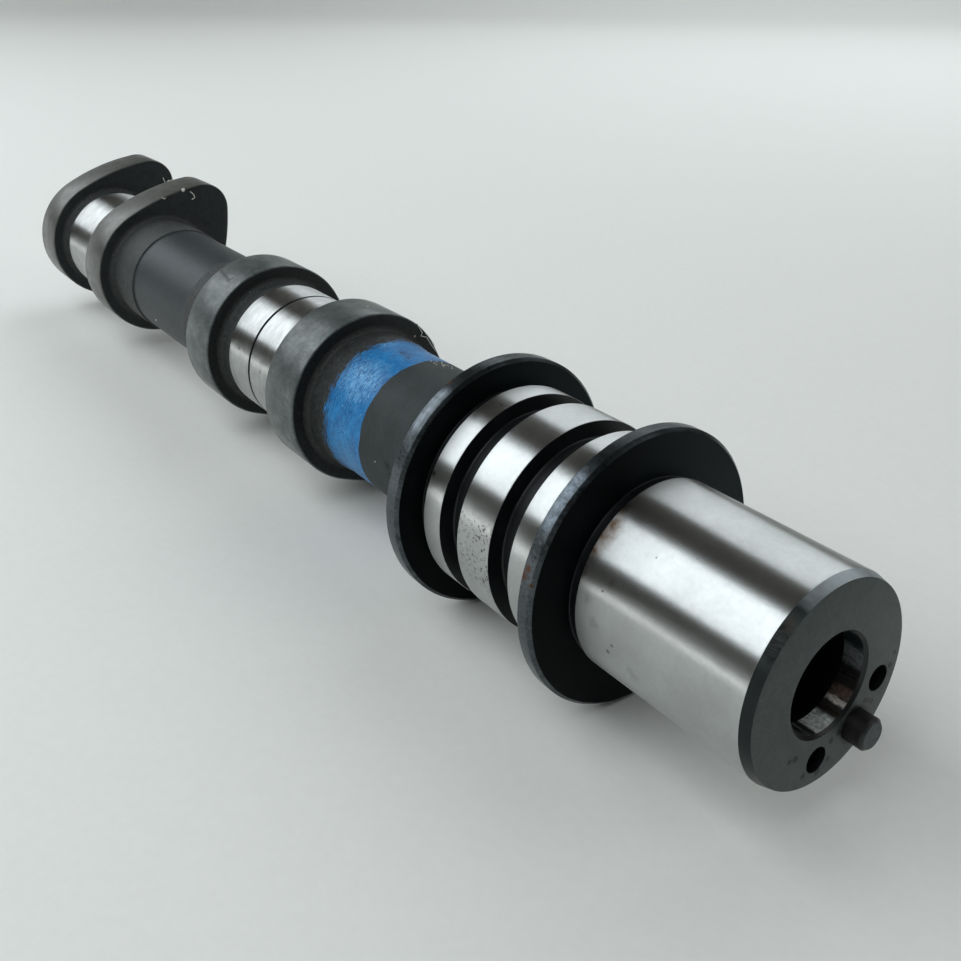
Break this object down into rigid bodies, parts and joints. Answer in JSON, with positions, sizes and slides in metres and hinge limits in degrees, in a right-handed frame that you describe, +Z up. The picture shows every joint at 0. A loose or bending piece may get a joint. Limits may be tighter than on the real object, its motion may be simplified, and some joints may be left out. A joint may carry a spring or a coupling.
{
  "type": "camshaft",
  "caption": "Short overhead camshaft with a grooved thrust journal between two flanges, cam lobes in two pairs at a right angle and a drilled nose with a dowel pin.",
  "frame": {"origin": "on the shaft's axis, midway between the two thrust flanges", "axes": "+X along the axis towards the nose, +Z up as the shaft lies on a table, +Y to the right seen from the nose end"},
  "size_m": [0.2858, 0.0466, 0.0466],
  "materials": {
    "camshaft": "ground bright on journals and nose, dark and matt where cast or coated",
    "dowel_pin": "ground steel, dull"
  },
  "bodies": {
    "root": {"camshaft": "camshaft", "dowel_pin": "dowel_pin"}
  },
  "joints": []
}
